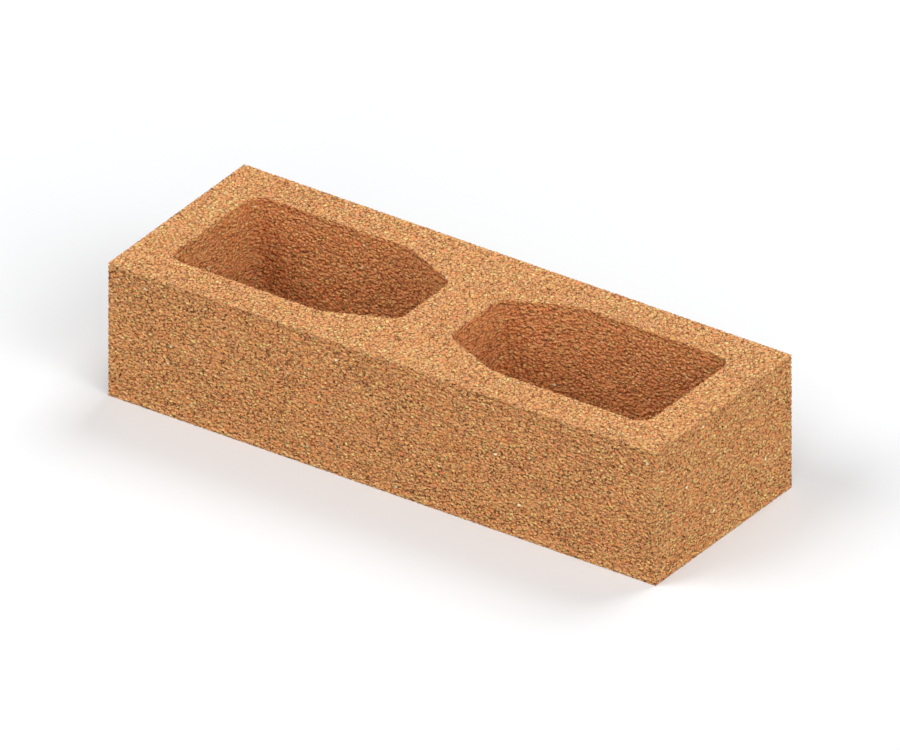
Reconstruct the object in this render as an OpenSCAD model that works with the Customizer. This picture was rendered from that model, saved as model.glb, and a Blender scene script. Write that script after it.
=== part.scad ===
// Hollow masonry brick with two cells that run right through it from bed to bed.
// The origin is at the centre of the lower bed face: X along the brick, Y across it, Z up.

/* [Brick] */
// Length of the brick, from end face to end face
length = 390; // [340:1:490]
// Width of the brick, which is the thickness of the wall that it builds
width = 140; // [120:1:200]
// Height of the brick, from bed to bed
height = 90; // [50:1:200]

/* [Shells and web] */
// Thickness of the wall between a cell and a long face
face_shell = 25; // [18:1:35]
// Thickness of the wall between a cell and an end face
end_shell = 25; // [18:1:40]
// Thickness of the web between the two cells, at its waist
web = 35; // [20:1:60]

/* [Cell taper] */
// Length of the stretch over which a cell narrows towards the web
taper_length = 43; // [25:1:60]
// How far each long side of a cell draws in over that stretch
taper_inset = 19; // [8:1:24]

/* [Cell corners] */
// Radius of a cell's two corners at its wide end
end_corner_r = 10; // [3:0.5:14]
// Radius of the bend where a long side turns into its taper
shoulder_r = 20; // [5:1:30]
// Radius of a cell's two corners at its narrow end
web_corner_r = 8; // [3:0.5:12]

/* [Hidden] */

// Largest turn between two points of a corner's arc, in degrees
arc_step = 6;

// How far a cutting solid runs past the face that it cuts through
overshoot = 1;

// Colour of the brick's body
body_colour = [0.73, 0.51, 0.33];

// Where a cell starts, bends and ends, along X from the middle of the web
cell_start = web / 2;
cell_shoulder = cell_start + taper_length;
cell_end = length / 2 - end_shell;

// Half of a cell's width at its wide end and at its narrow end
wide_half = width / 2 - face_shell;
narrow_half = wide_half - taper_inset;

// Corners of a cell's outline before they are rounded, counter-clockwise
cell_corners = [
    [cell_start, -narrow_half],
    [cell_shoulder, -wide_half],
    [cell_end, -wide_half],
    [cell_end, wide_half],
    [cell_shoulder, wide_half],
    [cell_start, narrow_half],
];

// Radius of each of those corners, in the same order
cell_radii = [
    web_corner_r,
    shoulder_r,
    end_corner_r,
    end_corner_r,
    shoulder_r,
    web_corner_r,
];

// Vector of length 1 along v
function unit(v) = v / norm(v);

// Half of the angle at corner p between its neighbours a and b
function half_angle(a, p, b) = acos(unit(a - p) * unit(b - p)) / 2;

// Radius r, or the largest that leaves half of each side of corner p to its neighbours
function fitted_radius(a, p, b, r) =
    min(r, min(norm(a - p), norm(b - p)) / 2 * tan(half_angle(a, p, b)));

// Points along the arc that rounds corner p of a counter-clockwise convex outline
function corner_arc(a, p, b, r) =
    let (
        half = half_angle(a, p, b),
        centre = p + unit(unit(a - p) + unit(b - p)) * r / sin(half),
        arriving = unit(p - a),
        start_angle = atan2(-arriving.x, arriving.y),
        turn = 180 - 2 * half,
        steps = ceil(turn / arc_step)
    )
    [
        for (k = [0 : steps])
            let (angle = start_angle + turn * k / steps)
            centre + r * [cos(angle), sin(angle)]
    ];

// Outline of a cell, with its corners rounded
function rounded(corners, radii) =
    let (count = len(corners))
    [
        for (i = [0 : count - 1])
            let (
                before = corners[(i + count - 1) % count],
                after = corners[(i + 1) % count],
                radius = fitted_radius(before, corners[i], after, radii[i])
            )
            each corner_arc(before, corners[i], after, radius)
    ];

// The hollow of the cell on the +X side, long enough to cut through both beds
module cell() {
    translate([0, 0, -overshoot])
        linear_extrude(height = height + 2 * overshoot)
            polygon(rounded(cell_corners, cell_radii));
}

// The whole brick: one moulded block with a cell each side of its web
module brick() {
    color(body_colour)
        difference() {
            translate([-length / 2, -width / 2, 0])
                cube([length, width, height]);
            for (side = [0, 1])
                mirror([side, 0, 0])
                    cell();
        }
}

brick();
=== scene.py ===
import math
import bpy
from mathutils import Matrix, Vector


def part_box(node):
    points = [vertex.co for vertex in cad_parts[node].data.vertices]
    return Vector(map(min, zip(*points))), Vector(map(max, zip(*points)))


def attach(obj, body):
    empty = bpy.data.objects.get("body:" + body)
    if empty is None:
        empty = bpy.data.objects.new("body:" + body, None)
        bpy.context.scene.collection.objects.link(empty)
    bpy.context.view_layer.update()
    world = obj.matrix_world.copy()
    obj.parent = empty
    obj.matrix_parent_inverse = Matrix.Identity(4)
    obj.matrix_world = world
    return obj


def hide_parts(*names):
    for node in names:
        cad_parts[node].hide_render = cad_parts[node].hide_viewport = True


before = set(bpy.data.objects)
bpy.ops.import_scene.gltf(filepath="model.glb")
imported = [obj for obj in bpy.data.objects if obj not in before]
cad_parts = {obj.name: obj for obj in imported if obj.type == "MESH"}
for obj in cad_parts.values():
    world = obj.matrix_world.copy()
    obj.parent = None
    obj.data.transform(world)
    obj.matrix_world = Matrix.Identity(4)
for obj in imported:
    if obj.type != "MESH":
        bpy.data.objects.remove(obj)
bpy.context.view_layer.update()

from types import SimpleNamespace

import bpy
import numpy as np
from mathutils import Vector
from mathutils.geometry import delaunay_2d_cdt

# The scene is in metres, as the frame is
MM = 0.001

# One seed for every random draw, so that each run makes the same brick
rng = np.random.default_rng(390140)

# The grains of the surface: the distance between their centres, and as shares of it, how far a centre
# strays on a face and along a rim, and how far it keeps off the rim
GRAIN = 2.79 * MM
STRAY = 0.40
RIM_STRAY = 0.30
RIM_CLEARANCE = 0.55

# Share of a face's grains that are left out, so that their neighbours are larger
LOST_SHARE = 0.06

# How far grains lie below the mould's face: most of them a little, and a few deep, as pits
GRAIN_DROP = 0.30 * MM
SUNK_SHARE = 0.7
PIT_DROP = 0.9 * MM
PIT_RANGE = (0.5, 1.2)
PIT_SHARE = 0.005

# How far the gaps between three grains lie below the mould's face
SHALLOW_GAP = (0.20 * MM, 0.50 * MM)
OPEN_GAP = (0.55 * MM, 1.15 * MM)
OPEN_SHARE = 0.75

# A gap's place between its three grains is drawn at random: the larger this is, the nearer to the middle
GAP_CENTRING = 5

# Along an arris the grains are packed: they are only worn a little, and the gaps beside them are shallower
ARRIS_DROP = 0.07 * MM
ARRIS_WEAR = (0.3, 1.6)
ARRIS_GAP = 0.15

# A grain is on an arris if a face beside it turns away from it by more than the angle of this cosine
ARRIS_TURN = 0.9

# A triangle is on a bed if its normal is nearer to upright than the angle of this cosine
BED_TURN = 0.5

# Points of the CAD mesh are one if they agree to so many digits of a metre, and a point within these
# distances lies on the upper bed or on an outer face
SAME_PLACE_DIGITS = 7
ON_BED = 0.1 * MM
ON_OUTER_FACE = 1.0 * MM

# Shortest side of an outline that counts, and the distance in millimetres at which two grains are one
SHORTEST_SIDE = 1e-9
MERGE_LIMIT_IN_MM = 1e-6

# Room between two faces of the brick on its texture map
SHEET_GAP = 4.0 * MM

# The camera: where it stands around the brick in degrees, and the width of its view and its distance
AZIMUTH = 34.708
ELEVATION = 30.19
VIEW_WIDTH = 0.5267
CAMERA_DISTANCE = 2.0

# The material's pattern has the millimetre as its unit. Stones are wider than high, so that a millimetre
# of the brick is this much of the pattern along X, Y and Z
PRESSED = (0.95, 0.98, 1.40)

# Stones in a millimetre: the small ones, the groups of them that cracks run around, and the large ones.
# On the beds there are more, by this share
STONE_SCALE = 0.43
GROUP_SCALE = 0.27
LARGE_SCALE = 0.22
BED_FINER = 0.06

# Noises, each with its waves in a millimetre and its detail: what bends the stones, fine grain, where
# cracks run, patches with more of them, and clouds of colour
BEND_NOISE = (0.4, 1.0)
FINE_NOISE = (0.9, 3.0)
RUN_NOISE = (0.6, 2.0)
PATCH_NOISE = (0.04, 1.0)
CLOUD_NOISE = (0.03, 2.0)

# How far a stone is bent, in millimetres, for the whole range of its noise
BEND = 1.6

# The part of a noise's range that is used: of the slow noises, and of the fine one for gaps and for gloss
SLOW_RANGE = (0.35, 0.65)
FINE_RANGE = (0.3, 0.7)
WIDE_RANGE = (0.2, 0.8)

# Colours of the small stones, from the reddest to the yellowest, and a tint that some have in part
STONE_COLOURS = (
    (0.0, (0.910, 0.372, 0.158)),
    (0.5, (0.920, 0.428, 0.187)),
    (1.0, (0.895, 0.485, 0.216)),
)
LESS_BLUE = (1.0, 1.0, 0.74)

# Yellow lies on the crests of some small stones, partly sand and partly a painted highlight: the draws that
# pick those, and the crest's reach
SAND_AND_HIGHLIGHT_COLOUR = (0.88, 0.74, 0.27)
SAND_AND_HIGHLIGHT_DRAW = (0.63, 0.69)
CREST = (0.40, 0.24)

# Large smooth stones, red-orange, brown and cream: the channel that picks them, share, radius and colour
LARGE_STONES = (
    ("Red", 0.045, 0.42, (0.83, 0.300, 0.115)),
    ("Green", 0.035, 0.42, (0.80, 0.385, 0.175)),
    ("Blue", 0.010, 0.30, (0.97, 0.83, 0.53)),
)

# A large stone is whole inside this share of its radius. Draws past the limit by this much are picked
LARGE_CORE = 0.8
PICK_STEP = 0.001

# How much of the cracks and domes is left on a large stone
LARGE_STONE_DETAIL = 0.25

# Tints over all the stones: in slow clouds, a painted shade that makes the walls of the cells darker and
# redder, and on the beds
CLOUD_TINT = (1.0, 0.88, 0.76)
CLOUD_STRENGTH = 0.12
CELL_PAINTED_SHADE = (0.96, 0.85, 0.82)
BED_TINT = (0.975, 1.03, 1.10)

# Cracks, with a painted shade in them: its colour, where they fade out and are whole near a stone's edge,
# the same in the noise that they run by, how dark their painted shade is, and how far patches move that
# noise
CRACK_SHADE_COLOUR = (0.105, 0.014, 0.005)
CRACK_EDGE = (0.100, 0.055)
CRACK_RUNS = (0.50, 0.60)
CRACK_SHADE_STRENGTH = 0.80
PATCH_SWAY = 0.015

# Edge, noise and painted shade of the cracks around groups of stones
GROUP_EDGE = (0.075, 0.035)
GROUP_RUNS = (0.455, 0.55)
GROUP_SHADE_STRENGTH = 0.92

# On the beds small cracks run further and those around groups are fainter. In the cells all are fainter
BED_RUNS = 0.08
BED_GROUP_SHARE = 0.35
CELL_CRACK_SHARE = 0.75

# Deep gaps get a painted shade: from which depth to which in millimetres, how dark it is, and how far noise
# moves the limit
HOLLOW_DEPTH = (0.80, 1.15)
HOLLOW_SHADE_STRENGTH = 0.7
HOLLOW_SWAY = 0.15

# Bump, in millimetres: the fall from a stone's crest, the fall into gaps, and the fine noise
DOME_FALL = -2.1
GAP_FALL = -0.15
FINE_RISE = 0.15

# Gloss of the concrete
ROUGHNESS = (0.95, 0.8)
SPECULAR = 0.2

# Half the width of the floor, and its colour to the light's own paths and to rays that are seen
FLOOR_REACH = 6.0
FLOOR_LIT = (0.34, 0.34, 0.34)
FLOOR_SEEN = (0.888, 0.898, 0.906)

# Lamps: name, level direction that each stands in, elevation in degrees, what it adds to a level white
# surface, and spread in degrees
LAMPS = (
    ("key", (-0.7, -0.7), 48, 0.345, 38),
    ("back", (0.18, 0.98), 54, 0.325, 32),
    ("side", (1.0, -0.1), 36, 0.125, 34),
    ("front", (0.75, -0.66), 20, 0.22, 70),
)
LAMP_DISTANCE = 2.0

# Strength of the world: the even fill that it lights with, and white where it is seen
FILL = 0.12
SEEN_WHITE = 1.0

low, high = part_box("brick")
LENGTH = high.x - low.x
WIDTH = high.y - low.y
HEIGHT = high.z - low.z


class Skin:
    """Centres of the grains on every face of the brick, and the triangles between neighbours."""

    def __init__(self):
        self.places = []
        self.triangles = []
        self.sheets = []

    def add(self, places):
        """Takes in more grains, and returns their numbers."""
        first = len(self.places)
        self.places.extend(places)
        return list(range(first, len(self.places)))


def stations(length):
    """Places of the rim's grains along a side of that length, its end left out."""
    count = round(length / GRAIN)
    steps = np.arange(count) + rng.uniform(-RIM_STRAY, RIM_STRAY, count)
    steps[0] = 0.0
    return steps * length / count


def lattice(width, depth):
    """Strayed hexagonal lattice of grain centres in a rectangle, clear of its edges."""
    rows = round(depth / (GRAIN * math.sqrt(0.75)))
    columns = round(width / GRAIN)
    row, column = np.mgrid[0:rows + 1, 0:columns + 1]
    u = (column + 0.5 * (row % 2)) * width / columns
    v = row * depth / rows
    flat = np.stack([u, v], -1).reshape(-1, 2)
    flat += rng.uniform(-STRAY, STRAY, flat.shape) * GRAIN
    clear = RIM_CLEARANCE * GRAIN
    inside = (flat > clear).all(1) & (flat < np.array([width, depth]) - clear).all(1)
    kept = rng.random(len(flat)) > LOST_SHARE
    return flat[inside & kept]


def clearance(points, outline):
    """Distance from each point to a convex anticlockwise outline, negative outside it."""
    start = np.asarray(outline)
    along = np.roll(start, -1, axis=0) - start
    long_enough = np.linalg.norm(along, axis=1) > SHORTEST_SIDE
    start, along = start[long_enough], along[long_enough]
    inward = np.stack([-along[:, 1], along[:, 0]], 1)
    inward /= np.linalg.norm(inward, axis=1)[:, None]
    offsets = points[:, None, :] - start[None, :, :]
    return (offsets * inward[None]).sum(2).min(1)


def cover(skin, rims, inner, to_space, hollows=()):
    """Joins a face's rim grains and inner grains into triangles. A rim is (ids, flat places)."""
    ids = [i for rim_ids, _ in rims for i in rim_ids]
    flat = np.vstack([places for _, places in rims] + [inner])
    ids += skin.add(to_space(inner))
    edges = []
    first = 0
    for rim_ids, _ in rims:
        count = len(rim_ids)
        edges += [(first + k, first + (k + 1) % count) for k in range(count)]
        first += count
    in_mm = [Vector(p) for p in flat / MM]
    found = delaunay_2d_cdt(in_mm, edges, [], 0, MERGE_LIMIT_IN_MM)
    if len(found[0]) != len(flat):
        raise RuntimeError("two grains of a face fell together")
    own = [originals[0] for originals in found[3]]
    corners = np.array([[own[k] for k in face] for face in found[2]])
    a, b, c = (flat[corners[:, k]] for k in range(3))
    turn = (b[:, 0] - a[:, 0]) * (c[:, 1] - a[:, 1]) - (b[:, 1] - a[:, 1]) * (c[:, 0] - a[:, 0])
    corners[turn < 0] = corners[turn < 0][:, ::-1]
    middle = (a + b + c) / 3
    for outline in hollows:
        in_hollow = clearance(middle, outline) > 0
        corners, middle = corners[~in_hollow], middle[~in_hollow]
    skin.triangles.append(np.array(ids)[corners])
    skin.sheets.append(flat[corners])


def cell_outlines(node):
    """Outline of each cell on the upper bed, clockwise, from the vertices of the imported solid."""
    places = np.array([v.co for v in node.data.vertices])
    inner = (places[:, 2] > high.z - ON_BED) & (np.abs(places[:, 0]) < high.x - ON_OUTER_FACE)
    inner &= np.abs(places[:, 1]) < high.y - ON_OUTER_FACE
    outlines = []
    for side in (-1, 1):
        own = places[inner & (places[:, 0] * side > 0)][:, :2]
        rim = np.unique(own.round(SAME_PLACE_DIGITS), axis=0)
        arms = rim - rim.mean(0)
        order = np.argsort(-np.arctan2(arms[:, 1], arms[:, 0]))
        outlines.append(rim[order])
    return outlines


def walk(outline, distances):
    """Points at those distances along a closed outline."""
    closed = np.vstack([outline, outline[:1]])
    reached = np.concatenate([[0.0], np.cumsum(np.linalg.norm(np.diff(closed, axis=0), axis=1))])
    return np.stack([np.interp(distances, reached, closed[:, k]) for k in (0, 1)], 1)


def girth(outline):
    """Length of a closed outline."""
    return np.linalg.norm(np.roll(outline, -1, axis=0) - outline, axis=1).sum()


def at_height(points, z):
    """Flat points as places in space, all at one height."""
    return [(x, y, z) for x, y in points]


def rectangle_rim(width, bottom, right, top, left):
    """Rim of an upright rectangle: each side is (ids, distances), and all run up or to the right."""
    ids = bottom[0] + right[0] + top[0][::-1] + left[0][::-1]
    flat = np.vstack([
        np.stack([bottom[1], np.zeros(len(bottom[1]))], 1),
        np.stack([np.full(len(right[1]), width), right[1]], 1),
        np.stack([top[1], np.full(len(top[1]), HEIGHT)], 1)[::-1],
        np.stack([np.zeros(len(left[1])), left[1]], 1)[::-1],
    ])
    return ids, flat


def column(skin, corner):
    """Grains up a vertical line, without its two ends, and their heights."""
    heights = stations(HEIGHT)[1:]
    return skin.add([(corner[0], corner[1], low.z + h) for h in heights]), heights


def outer_walls(skin):
    """The four upright faces. Returns the rims that they share with the lower and the upper bed."""
    corners = np.array([(low.x, low.y), (high.x, low.y), (high.x, high.y), (low.x, high.y)])
    sides = np.roll(corners, -1, axis=0) - corners
    widths = np.linalg.norm(sides, axis=1)
    rows = {}
    for z in (low.z, high.z):
        rows[z] = []
        for corner, side, width in zip(corners, sides, widths):
            reach = stations(width)
            points = corner + np.outer(reach / width, side)
            rows[z].append((skin.add(at_height(points, z)), reach, points))
    arrises = [column(skin, corner) for corner in corners]
    for k in range(4):
        following = (k + 1) % 4

        def edge(z):
            ids, reach, _ = rows[z][k]
            return ids + rows[z][following][0][:1], np.append(reach, widths[k])

        def to_space(flat):
            along = corners[k] + np.outer(flat[:, 0] / widths[k], sides[k])
            return [(x, y, low.z + v) for (x, y), v in zip(along, flat[:, 1])]

        rim = rectangle_rim(widths[k], edge(low.z), arrises[following], edge(high.z), arrises[k])
        cover(skin, [rim], lattice(widths[k], HEIGHT), to_space)
    return {
        z: (sum((r[0] for r in rows[z]), []), np.vstack([r[2] for r in rows[z]]))
        for z in rows
    }


def cell_wall(skin, outline):
    """The wall of one cell, unrolled along its outline. Returns its lower and upper rim."""
    around = girth(outline)
    rims = {}
    rows = {}
    for z in (low.z, high.z):
        reach = stations(around)
        points = walk(outline, reach)
        ids = skin.add(at_height(points, z))
        rims[z] = (ids, points)
        rows[z] = (ids + ids[:1], np.append(reach, around))
    seam = column(skin, outline[0])

    def to_space(flat):
        along = walk(outline, flat[:, 0])
        return [(x, y, low.z + v) for (x, y), v in zip(along, flat[:, 1])]

    rim = rectangle_rim(around, rows[low.z], seam, rows[high.z], seam)
    cover(skin, [rim], lattice(around, HEIGHT), to_space)
    return rims


def bed(skin, z, sense, outer, cells):
    """A bed face with its cells left open. Sense is 1 for the upper bed and -1 for the lower."""
    mirror = np.array([sense, 1.0])
    rims = [(ids, points * mirror) for ids, points in [outer, *cells]]
    hollows = [places if sense < 0 else places[::-1] for _, places in rims[1:]]
    inner = lattice(LENGTH, WIDTH) + np.array([low.x, low.y])
    for outline in hollows:
        inner = inner[clearance(inner, outline) < -RIM_CLEARANCE * GRAIN]

    def to_space(flat):
        return at_height(flat * mirror, z)

    cover(skin, rims, inner, to_space, hollows)


def atlas(sheets):
    """The flat faces side by side in rows, on one map that they fill from 0 to 1."""
    row_width = LENGTH + WIDTH + 3 * SHEET_GAP
    corner = np.full(2, SHEET_GAP)
    row_top = 0.0
    laid = []
    for sheet in sheets:
        least = sheet.min((0, 1))
        size = sheet.max((0, 1)) - least
        if corner[0] + size[0] > row_width:
            corner = np.array([SHEET_GAP, row_top + SHEET_GAP])
        laid.append(sheet - least + corner)
        row_top = max(row_top, corner[1] + size[1])
        corner = corner + np.array([size[0] + SHEET_GAP, 0.0])
    return np.vstack(laid) / np.array([row_width, row_top + SHEET_GAP])


def joined_grains():
    """Skin of the whole brick: one closed net with a grain centre at each of its points."""
    skin = Skin()
    outer = outer_walls(skin)
    cells = [cell_wall(skin, outline) for outline in cell_outlines(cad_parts["brick"])]
    for z, sense in ((low.z, -1), (high.z, 1)):
        bed(skin, z, sense, outer[z], [cell[z] for cell in cells])
    return np.array(skin.places), np.vstack(skin.triangles), atlas(skin.sheets)


def twins(triangles, count):
    """For each edge of each triangle, in order: its start, and which edge it is in the next triangle."""
    start = triangles.ravel()
    end = triangles[:, [1, 2, 0]].ravel()
    key = start * count + end
    order = np.argsort(key)
    match = order[np.searchsorted(key[order], end * count + start)]
    return start, match


def unit(vectors):
    """The same directions, with length 1."""
    return vectors / np.linalg.norm(vectors, axis=-1, keepdims=True)


def facings(centres, triangles):
    """Directions that the triangles face, and that the skin faces at each grain."""
    corners = centres[triangles]
    normals = np.cross(corners[:, 1] - corners[:, 0], corners[:, 2] - corners[:, 0])
    facing = np.zeros_like(centres)
    for k in range(3):
        np.add.at(facing, triangles[:, k], normals)
    return unit(normals), unit(facing)


def arris_grains(triangles, normals, facing):
    """True for each grain with a triangle beside it that turns away from it."""
    turned = np.ones(len(facing))
    for k in range(3):
        np.minimum.at(turned, triangles[:, k], (normals * facing[triangles[:, k]]).sum(1))
    return turned < ARRIS_TURN


def grain_drops(on_arris):
    """How far below the mould's face each grain lies."""
    count = len(on_arris)
    drop = rng.uniform(0, GRAIN_DROP, count) * (rng.random(count) < SUNK_SHARE)
    drop += (rng.random(count) < PIT_SHARE) * rng.uniform(*PIT_RANGE, count) * PIT_DROP
    worn = rng.uniform(*ARRIS_WEAR, count) * ARRIS_DROP
    return np.where(on_arris, worn, drop)


def gap_drops(beside_arris):
    """How far below the mould's face each gap between three grains lies."""
    count = len(beside_arris)
    is_open = rng.random(count) < OPEN_SHARE
    open_drop = rng.uniform(*OPEN_GAP, count)
    shallow_drop = rng.uniform(*SHALLOW_GAP, count)
    return np.where(is_open, open_drop, shallow_drop) * np.where(beside_arris, ARRIS_GAP, 1.0)


def split_map(flat, weights, match):
    """Map places of each face's three corners. A face across a sheet's rim stays on its own sheet."""
    begin = flat.reshape(-1, 2)
    end = flat[:, [1, 2, 0]].reshape(-1, 2)
    middle = (flat * weights[:, :, None]).sum(1)
    own = np.repeat(middle, 3, axis=0)
    goes_on = np.isclose(begin, end[match]).all(1) & np.isclose(end, begin[match]).all(1)
    beyond = np.where(goes_on[:, None], own[match], begin + end - own)
    return np.stack([begin, beyond, own], 1)


def area_marks(corners, normals, triangles, count):
    """For each point of the mesh, 1 where it is on the wall of a cell or on a bed, and 0 elsewhere."""
    middle = np.abs(corners.mean(1))
    on_bed = np.abs(normals[:, 2]) > BED_TURN
    in_cell = ~on_bed & (middle[:, 0] < high.x - ON_OUTER_FACE) & (middle[:, 1] < high.y - ON_OUTER_FACE)
    marks = {}
    for name, chosen in (("inner", in_cell), ("bed", on_bed)):
        whole = np.ones(count)
        for k in range(3):
            np.minimum.at(whole, triangles[:, k], chosen)
        marks[name] = np.concatenate([whole, chosen])
    return marks


def grain_mesh():
    """The brick's mesh: a low dome for each grain, with a gap at each corner between three."""
    centres, triangles, flat = joined_grains()
    count = len(centres)
    start, match = twins(triangles, count)
    here = np.repeat(np.arange(len(triangles)), 3)
    there = match // 3
    faces = np.stack([start, count + there, count + here], 1)

    normals, facing = facings(centres, triangles)
    on_arris = arris_grains(triangles, normals, facing)
    drop = grain_drops(on_arris)
    weights = rng.dirichlet([GAP_CENTRING] * 3, len(triangles))
    gap = gap_drops(on_arris[triangles].any(1))

    corners = centres[triangles]
    between = (corners * weights[:, :, None]).sum(1)
    places = np.vstack([centres - facing * drop[:, None], between - normals * gap[:, None]])
    marks = {"depth": np.concatenate([drop, gap]) / MM}
    marks.update(area_marks(corners, normals, triangles, count))
    return places, faces, marks, split_map(flat, weights, match)


def brick_object():
    """The visible brick, one closed mesh, with its map and each point's marks for the material."""
    places, faces, marks, mapped = grain_mesh()
    mesh = bpy.data.meshes.new("brick_body")
    mesh.from_pydata(places.tolist(), [], faces.tolist())
    mesh.update()
    mesh.shade_flat()
    mesh.uv_layers.new(name="OFBake").uv.foreach_set("vector", mapped.ravel())
    for name, values in marks.items():
        mesh.attributes.new(name, "FLOAT", "POINT").data.foreach_set("value", values)
    piece = bpy.data.objects.new("brick_body", mesh)
    bpy.context.scene.collection.objects.link(piece)
    return piece


class Nodes:
    """A node tree, with a short call for each kind of node that is used here."""

    def __init__(self, tree):
        self.tree = tree

    def plug(self, socket, value):
        """Gives a socket a value, or links it to another node's output."""
        if isinstance(value, bpy.types.NodeSocket):
            self.tree.links.new(value, socket)
        else:
            socket.default_value = value

    def add(self, kind, settings=None, **inputs):
        """A new node: its settings, then its sockets by name."""
        made = self.tree.nodes.new(kind)
        for name, value in (settings or {}).items():
            setattr(made, name, value)
        for name, value in inputs.items():
            self.plug(made.inputs[name], value)
        return made

    def worked(self, kind, operation, values):
        """Result of a node that works on values in their order."""
        made = self.add(kind, {"operation": operation})
        for socket, value in zip(made.inputs, values):
            self.plug(socket, value)
        return made.outputs[0]

    def maths(self, operation, *values):
        """Result of an operation on numbers."""
        return self.worked("ShaderNodeMath", operation, values)

    def vectors(self, operation, *values):
        """Result of an operation on vectors."""
        return self.worked("ShaderNodeVectorMath", operation, values)

    def product(self, first, *others):
        """Product of two or more numbers."""
        for other in others:
            first = self.maths("MULTIPLY", first, other)
        return first

    def ranged(self, value, before, after=(0.0, 1.0)):
        """A value moved smoothly from one range to another, and held at the ends."""
        made = self.add("ShaderNodeMapRange", {"interpolation_type": "SMOOTHSTEP"}, Value=value)
        for side, (start, end) in (("From", before), ("To", after)):
            self.plug(made.inputs[side + " Min"], start)
            self.plug(made.inputs[side + " Max"], end)
        return made.outputs["Result"]

    def where(self, mark, share):
        """1 where a mark is 0, and that share where it is 1."""
        return self.ranged(mark, (0.0, 1.0), (1.0, share))

    def mixed(self, share, first, second, blend="MIX"):
        """A colour with a share of a second colour mixed in, or multiplied in."""
        made = self.add("ShaderNodeMix", {"data_type": "RGBA", "blend_type": blend})
        for number, value in ((0, share), (6, first), (7, (*second, 1.0))):
            self.plug(made.inputs[number], value)
        return made.outputs[2]

    def ramp(self, value, stops):
        """Colours between stops, each (place, colour)."""
        made = self.add("ShaderNodeValToRGB", Fac=value)
        elements = made.color_ramp.elements
        while len(elements) < len(stops):
            elements.new(1.0)
        for element, (place, colour) in zip(elements, stops):
            element.position = place
            element.color = (*colour, 1.0)
        return made.outputs["Color"]

    def mark(self, name):
        """One of the mesh's marks."""
        return self.add("ShaderNodeAttribute", {"attribute_name": name}).outputs["Fac"]


def new_material(name):
    """A new material, its nodes and its shader."""
    material = bpy.data.materials.new(name)
    material.use_nodes = True
    tree = material.node_tree
    return material, Nodes(tree), tree.nodes["Principled BSDF"]


def stone_pattern(nodes):
    """The marks, noises and stones that the concrete's colour and bump are made from."""
    place = nodes.add("ShaderNodeTexCoord").outputs["Object"]
    pressed = nodes.vectors("MULTIPLY", place, [scale / MM for scale in PRESSED])

    def noise(kind, output="Fac"):
        scale, detail = kind
        return nodes.add("ShaderNodeTexNoise", Vector=pressed, Scale=scale, Detail=detail).outputs[output]

    bent = nodes.vectors("MULTIPLY_ADD", noise(BEND_NOISE, "Color"), [BEND] * 3, pressed)
    on_bed = nodes.maths("GREATER_THAN", nodes.mark("bed"), 0.5)

    def stones(scale, feature):
        finer = nodes.maths("ADD", nodes.product(on_bed, BED_FINER * scale), scale)
        return nodes.add("ShaderNodeTexVoronoi", {"feature": feature}, Vector=bent, Scale=finer).outputs

    def draws(stone):
        return nodes.add("ShaderNodeSeparateColor", Color=stone["Color"]).outputs

    small = stones(STONE_SCALE, "F1")
    large = stones(LARGE_SCALE, "F1")
    sway = nodes.ranged(noise(PATCH_NOISE), SLOW_RANGE, (-PATCH_SWAY, PATCH_SWAY))
    return SimpleNamespace(
        on_bed=on_bed,
        in_cell=nodes.mark("inner"),
        depth=nodes.mark("depth"),
        fine=noise(FINE_NOISE),
        cloud=noise(CLOUD_NOISE),
        runs=nodes.maths("ADD", noise(RUN_NOISE), sway),
        edge=stones(STONE_SCALE, "DISTANCE_TO_EDGE")["Distance"],
        group_edge=stones(GROUP_SCALE, "DISTANCE_TO_EDGE")["Distance"],
        reach=small["Distance"],
        draw=draws(small),
        large_reach=large["Distance"],
        large_draw=draws(large),
    )


def stone_colours(nodes, pattern):
    """Colour of the stones, and how much of the cracks and domes is kept: less on the large stones."""
    colour = nodes.ramp(pattern.draw["Green"], STONE_COLOURS)
    colour = nodes.mixed(pattern.draw["Blue"], colour, LESS_BLUE, "MULTIPLY")
    # Yellow on the crests of some stones: partly sand, partly a painted highlight
    sand_and_highlight = nodes.product(nodes.ranged(pattern.draw["Red"], SAND_AND_HIGHLIGHT_DRAW), nodes.ranged(pattern.reach, CREST))
    colour = nodes.mixed(sand_and_highlight, colour, SAND_AND_HIGHLIGHT_COLOUR)
    on_large = 0.0
    for channel, share, radius, own_colour in LARGE_STONES:
        picked = nodes.ranged(pattern.large_draw[channel], (1.0 - share, 1.0 + PICK_STEP - share))
        inside = nodes.ranged(pattern.large_reach, (radius, LARGE_CORE * radius))
        stone = nodes.product(picked, inside)
        colour = nodes.mixed(stone, colour, own_colour)
        on_large = nodes.maths("MAXIMUM", stone, on_large)
    clouded = nodes.ranged(pattern.cloud, SLOW_RANGE, (0.0, CLOUD_STRENGTH))
    # On the walls of the cells the tint is a painted shade, darker and redder
    for share, tint in ((clouded, CLOUD_TINT), (pattern.in_cell, CELL_PAINTED_SHADE), (pattern.on_bed, BED_TINT)):
        colour = nodes.mixed(share, colour, tint, "MULTIPLY")
    return colour, nodes.ranged(on_large, (1.0, 0.0), (LARGE_STONE_DETAIL, 1.0))


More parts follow.
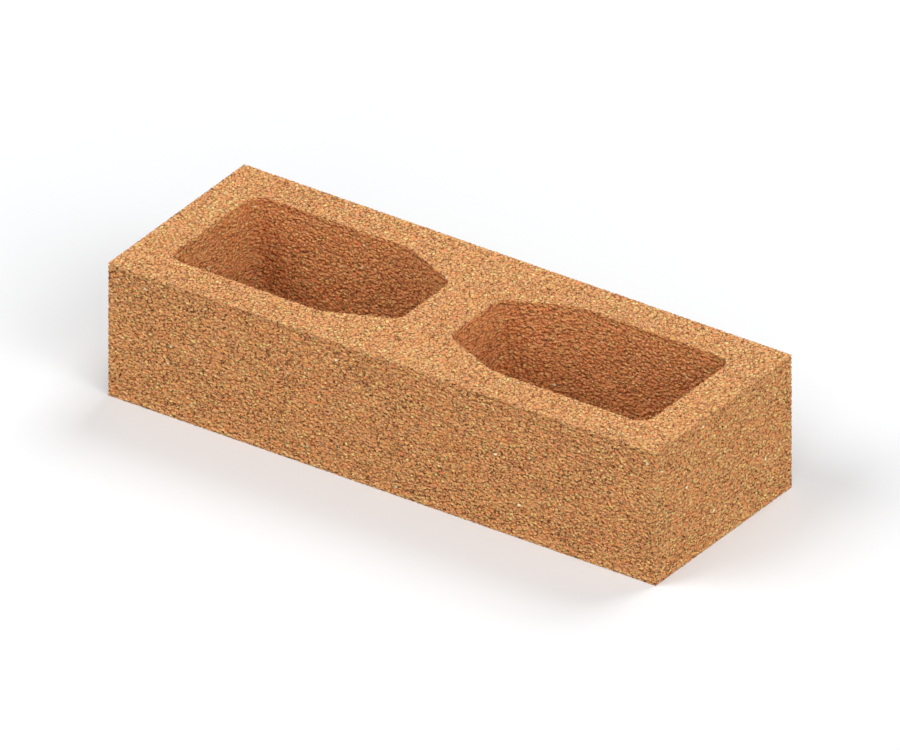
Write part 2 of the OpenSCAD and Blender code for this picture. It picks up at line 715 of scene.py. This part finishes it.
def painted_shade(nodes, pattern, detail):
    """Painted shade of a point: in cracks between stones and around groups of them, and in deep gaps."""
    bed_runs = nodes.maths("ADD", pattern.runs, nodes.product(pattern.on_bed, BED_RUNS))
    # Painted shade along the cracks between stones and around groups of them
    crack_shade = nodes.product(
        nodes.ranged(pattern.edge, CRACK_EDGE),
        nodes.ranged(bed_runs, CRACK_RUNS, (0.0, CRACK_SHADE_STRENGTH)),
    )
    around_group = nodes.product(
        nodes.ranged(pattern.group_edge, GROUP_EDGE),
        nodes.ranged(pattern.runs, GROUP_RUNS, (0.0, GROUP_SHADE_STRENGTH)),
        nodes.where(pattern.on_bed, BED_GROUP_SHARE),
    )
    crack_shade = nodes.maths("MAXIMUM", crack_shade, around_group)
    crack_shade = nodes.product(crack_shade, detail, nodes.where(pattern.in_cell, CELL_CRACK_SHARE))
    # Painted shade in the deep gaps of the mesh, darker the deeper they lie
    sway = nodes.ranged(pattern.fine, FINE_RANGE, (-HOLLOW_SWAY, HOLLOW_SWAY))
    deep = nodes.maths("ADD", pattern.depth, sway)
    hollow_shade = nodes.ranged(deep, HOLLOW_DEPTH, (0.0, HOLLOW_SHADE_STRENGTH))
    return nodes.maths("MAXIMUM", crack_shade, hollow_shade)


def relief(nodes, pattern, detail):
    """Height of the bump in millimetres: a dome on each stone, the gaps, and fine noise."""
    dome = nodes.product(pattern.reach, pattern.reach, DOME_FALL, detail)
    fall = nodes.product(pattern.depth, GAP_FALL)
    fine = nodes.product(pattern.fine, FINE_RISE)
    return nodes.maths("ADD", nodes.maths("ADD", fall, dome), fine)


def concrete():
    """Pigmented concrete: orange grains with painted shade in the cracks between them, and yellow on some
    crests, partly sand and partly a painted highlight.
    """
    material, nodes, shader = new_material("pigmented_concrete")
    pattern = stone_pattern(nodes)
    colour, detail = stone_colours(nodes, pattern)
    # The painted shade of the cracks and deep gaps is mixed into the colour
    colour = nodes.mixed(painted_shade(nodes, pattern, detail), colour, CRACK_SHADE_COLOUR)
    height = relief(nodes, pattern, detail)
    bump = nodes.add("ShaderNodeBump", Height=height, Strength=1.0, Distance=MM)
    nodes.plug(shader.inputs["Base Color"], colour)
    nodes.plug(shader.inputs["Roughness"], nodes.ranged(pattern.fine, WIDE_RANGE, ROUGHNESS))
    nodes.plug(shader.inputs["Specular IOR Level"], SPECULAR)
    nodes.plug(shader.inputs["Normal"], bump.outputs["Normal"])
    return material


def seen_rays(nodes):
    """1 for rays from the camera, straight or by way of a reflection, and 0 for the light's own paths."""
    path = nodes.add("ShaderNodeLightPath").outputs
    seen = nodes.maths("MAXIMUM", path["Is Camera Ray"], path["Is Glossy Ray"])
    return nodes.maths("MAXIMUM", seen, path["Is Transmission Ray"])


def white_floor():
    """Plain floor under the brick: it shows white where nothing shades it, and throws little light back."""
    mesh = bpy.data.meshes.new("floor")
    corners = [(x * FLOOR_REACH, y * FLOOR_REACH, 0) for x, y in ((-1, -1), (1, -1), (1, 1), (-1, 1))]
    mesh.from_pydata(corners, [], [(0, 1, 2, 3)])
    floor = bpy.data.objects.new("floor", mesh)
    bpy.context.scene.collection.objects.link(floor)
    material, nodes, shader = new_material("floor_white")
    shown = nodes.mixed(seen_rays(nodes), (*FLOOR_LIT, 1.0), FLOOR_SEEN)
    nodes.plug(shader.inputs["Base Color"], shown)
    nodes.plug(shader.inputs["Roughness"], 1.0)
    nodes.plug(shader.inputs["Specular IOR Level"], 0.0)
    mesh.materials.append(material)


def sun(name, toward, elevation, share, spread):
    """A soft lamp far away. Share is what it adds to a level white surface, of about 1 in all."""
    lamp = bpy.data.lights.new(name, "SUN")
    lamp.energy = math.pi * share / math.sin(math.radians(elevation))
    lamp.angle = math.radians(spread)
    lamp_object = bpy.data.objects.new(name, lamp)
    level = Vector((toward[0], toward[1], 0)).normalized() * math.cos(math.radians(elevation))
    direction = Vector((level.x, level.y, math.sin(math.radians(elevation))))
    lamp_object.rotation_euler = direction.to_track_quat("Z", "Y").to_euler()
    lamp_object.location = direction * LAMP_DISTANCE
    bpy.context.scene.collection.objects.link(lamp_object)


def studio_light():
    """The soft lamps and an even fill; the world shows as white behind everything."""
    for lamp in LAMPS:
        sun(*lamp)
    world = bpy.data.worlds.new("studio")
    world.use_nodes = True
    nodes = Nodes(world.node_tree)
    background = world.node_tree.nodes["Background"]
    strength = nodes.ranged(seen_rays(nodes), (0.0, 1.0), (FILL, SEEN_WHITE))
    nodes.plug(background.inputs["Color"], (1, 1, 1, 1))
    nodes.plug(background.inputs["Strength"], strength)
    bpy.context.scene.world = world


def camera():
    """Parallel view from the front and right, aimed at the middle of the brick."""
    lens = bpy.data.cameras.new("camera")
    lens.type = "ORTHO"
    lens.ortho_scale = VIEW_WIDTH
    eye = bpy.data.objects.new("camera", lens)
    azimuth, elevation = math.radians(AZIMUTH), math.radians(ELEVATION)
    back = Vector((
        math.sin(azimuth) * math.cos(elevation),
        -math.cos(azimuth) * math.cos(elevation),
        math.sin(elevation),
    ))
    eye.location = (low + high) / 2 + back * CAMERA_DISTANCE
    eye.rotation_euler = back.to_track_quat("Z", "Y").to_euler()
    bpy.context.scene.collection.objects.link(eye)
    bpy.context.scene.camera = eye


camera()
brick = brick_object()
brick.data.materials.append(concrete())
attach(brick, "root")
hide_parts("brick")
white_floor()
studio_light()
bpy.context.scene.view_settings.view_transform = "Standard"
